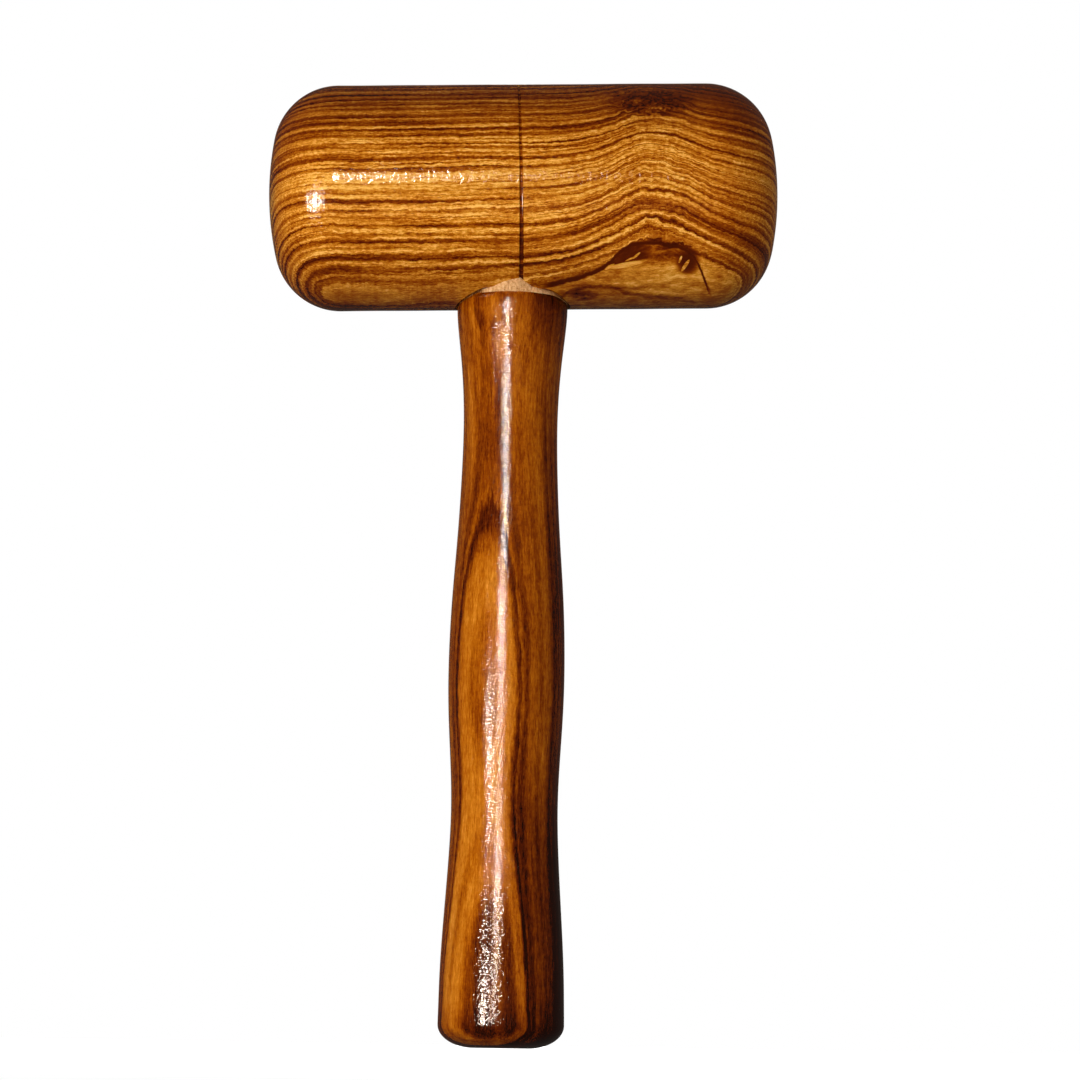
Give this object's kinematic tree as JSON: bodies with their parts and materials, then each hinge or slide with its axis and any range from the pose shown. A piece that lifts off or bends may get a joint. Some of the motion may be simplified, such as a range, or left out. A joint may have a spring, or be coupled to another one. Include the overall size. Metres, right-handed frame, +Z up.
{
  "type": "wooden mallet",
  "caption": "Turned hardwood mallet: round barrel head with crowned striking faces on a swelled round handle, fixed by a wedged through tenon.",
  "frame": {"origin": "centre of the flat butt face, at the bottom of the handle", "axes": "+Z up along the handle towards the head; X along the head, its striking faces look along -X and +X; -Y is the front"},
  "size_m": [0.1352, 0.06, 0.2561],
  "materials": {
    "head_wood": "clear gloss varnish over straight to burled dark-lined rosewood",
    "handle_wood": "clear gloss varnish over straight-grained rosewood with dark red streaks",
    "wedge_wood": "clear gloss varnish over pale plain wood",
    "filler": "matt glue and sawdust filler"
  },
  "bodies": {
    "root": {"head": "head_wood", "handle": "handle_wood", "tenon_wedge": "wedge_wood", "filler_fillet": "filler"}
  },
  "joints": []
}
